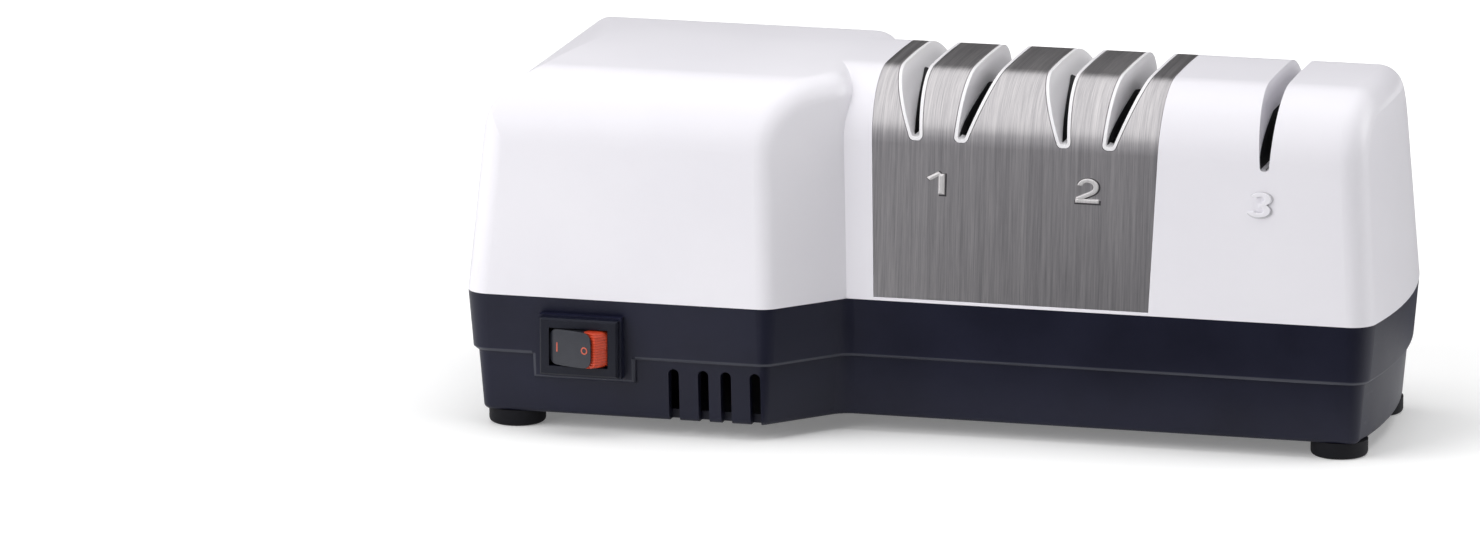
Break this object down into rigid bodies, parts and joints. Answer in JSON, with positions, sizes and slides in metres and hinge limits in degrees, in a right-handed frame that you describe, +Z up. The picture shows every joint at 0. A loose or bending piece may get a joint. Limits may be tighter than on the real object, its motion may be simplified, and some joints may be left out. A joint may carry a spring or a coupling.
{
  "type": "electric knife sharpener",
  "caption": "Countertop electric knife sharpener: stepped white hood over a dark base, steel cover plate, flared blade slots, rocker switch, sprung abrasive disks on a motor shaft.",
  "frame": {"origin": "on the surface it stands on, below the middle of its outline", "axes": "+X along the length, from the motor end with the switch to the manual stage; +Y from the user's side to the back; +Z up"},
  "size_m": [0.254, 0.1158, 0.1008],
  "materials": {
    "hood_white": "smooth moulded ABS, soft gloss",
    "liner_white": "smooth moulded ABS",
    "guide_grey": "moulded acetal",
    "base_navy": "fine eroded texture",
    "plate_steel": "brushed front to back",
    "disk_steel": "fine abrasive in nickel",
    "steel": "bright ground steel",
    "spring_steel": "drawn wire",
    "zinc": "zinc plated",
    "core_steel": "stacked sheets, dull",
    "copper": "drawn copper",
    "rotor_alu": "as cast",
    "bronze": "sintered bronze",
    "bobbin_nylon": "moulded nylon",
    "fan_plastic": "moulded nylon",
    "frame_plastic": "glass filled nylon",
    "black_rubber": "soft moulded rubber",
    "switch_black": "smooth moulded nylon",
    "rocker_orange": "smooth moulded",
    "rocker_black": "smooth moulded",
    "brass": "stamped",
    "ceramic": "fired fine-grit ceramic",
    "magnet_dark": "pressed ferrite",
    "lead_pvc": "soft insulated wire"
  },
  "bodies": {
    "housing": {"base_pan": "base_navy", "hood": "hood_white", "stage_plate": "plate_steel", "slot_liner_1": "liner_white", "slot_liner_2": "liner_white", "guide_spring_1": "guide_grey", "guide_spring_2": "guide_grey", "switch_body": "switch_black", "switch_terminals": "brass", "rubber_feet": "black_rubber", "hood_screws": "zinc", "motor_mount_screws": "zinc", "motor_stack": "core_steel", "shading_rings": "copper", "coil_bobbin": "bobbin_nylon", "coil_winding": "copper", "bearing_strap_left": "rotor_alu", "bearing_strap_right": "rotor_alu", "motor_bushes": "bronze", "motor_bolts": "zinc", "motor_spacers": "zinc", "motor_pads": "black_rubber", "mechanism_frame": "frame_plastic", "frame_screws": "zinc", "end_bush": "bronze", "wheel_cartridge": "guide_grey", "wheel_axle": "steel", "cord_gland": "black_rubber", "lead_wires": "lead_pvc"},
    "rotor": {"shaft": "steel", "drive_pins": "steel", "rotor_core": "core_steel", "rotor_end_rings": "rotor_alu", "cooling_fan": "fan_plastic", "disk_spring_1": "spring_steel", "disk_spring_2": "spring_steel"},
    "switch_rocker": {"rocker": "rocker_orange", "rocker_cap": "rocker_black"},
    "manual_wheel_left": {"wheel_left": "ceramic"},
    "manual_wheel_right": {"wheel_right": "ceramic"},
    "door": {"clean_out_door": "base_navy", "filings_magnet": "magnet_dark"},
    "disk_1_left_body": {"disk_1_left": "disk_steel"},
    "disk_1_right_body": {"disk_1_right": "disk_steel"},
    "disk_2_left_body": {"disk_2_left": "disk_steel"},
    "disk_2_right_body": {"disk_2_right": "disk_steel"}
  },
  "joints": [
    {"name": "motor_spin", "type": "hinge", "parent": "housing", "child": "rotor", "pos_m": [0, 0.00666, 0.062], "axis": [1, 0, 0], "continuous": true},
    {"name": "disk_1_left_yield", "type": "slide", "parent": "rotor", "child": "disk_1_left_body", "axis": [1, 0, 0], "range_m": [0, 0.0012], "stiffness_N_per_m": 1500, "springref_m": -0.002, "deforming": ["disk_spring_1"]},
    {"name": "disk_1_right_yield", "type": "slide", "parent": "rotor", "child": "disk_1_right_body", "axis": [-1, 0, 0], "range_m": [0, 0.0012], "stiffness_N_per_m": 1500, "springref_m": -0.002},
    {"name": "disk_2_left_yield", "type": "slide", "parent": "rotor", "child": "disk_2_left_body", "axis": [1, 0, 0], "range_m": [0, 0.0012], "stiffness_N_per_m": 1500, "springref_m": -0.002, "deforming": ["disk_spring_2"]},
    {"name": "disk_2_right_yield", "type": "slide", "parent": "rotor", "child": "disk_2_right_body", "axis": [-1, 0, 0], "range_m": [0, 0.0012], "stiffness_N_per_m": 1500, "springref_m": -0.002},
    {"name": "rocker_tip", "type": "hinge", "parent": "housing", "child": "switch_rocker", "pos_m": [-0.0928, -0.04949, 0.0255], "axis": [0, 0, 1], "range_deg": [0, 36.6]},
    {"name": "wheel_left_spin", "type": "hinge", "parent": "housing", "child": "manual_wheel_left", "pos_m": [0.0932, 0.00666, 0.071], "axis": [1, 0, 0], "continuous": true},
    {"name": "wheel_right_spin", "type": "hinge", "parent": "housing", "child": "manual_wheel_right", "pos_m": [0.0932, 0.00666, 0.071], "axis": [1, 0, 0], "continuous": true},
    {"name": "door_slide", "type": "slide", "parent": "housing", "child": "door", "axis": [1, 0, 0], "range_m": [0, 0.03]}
  ]
}
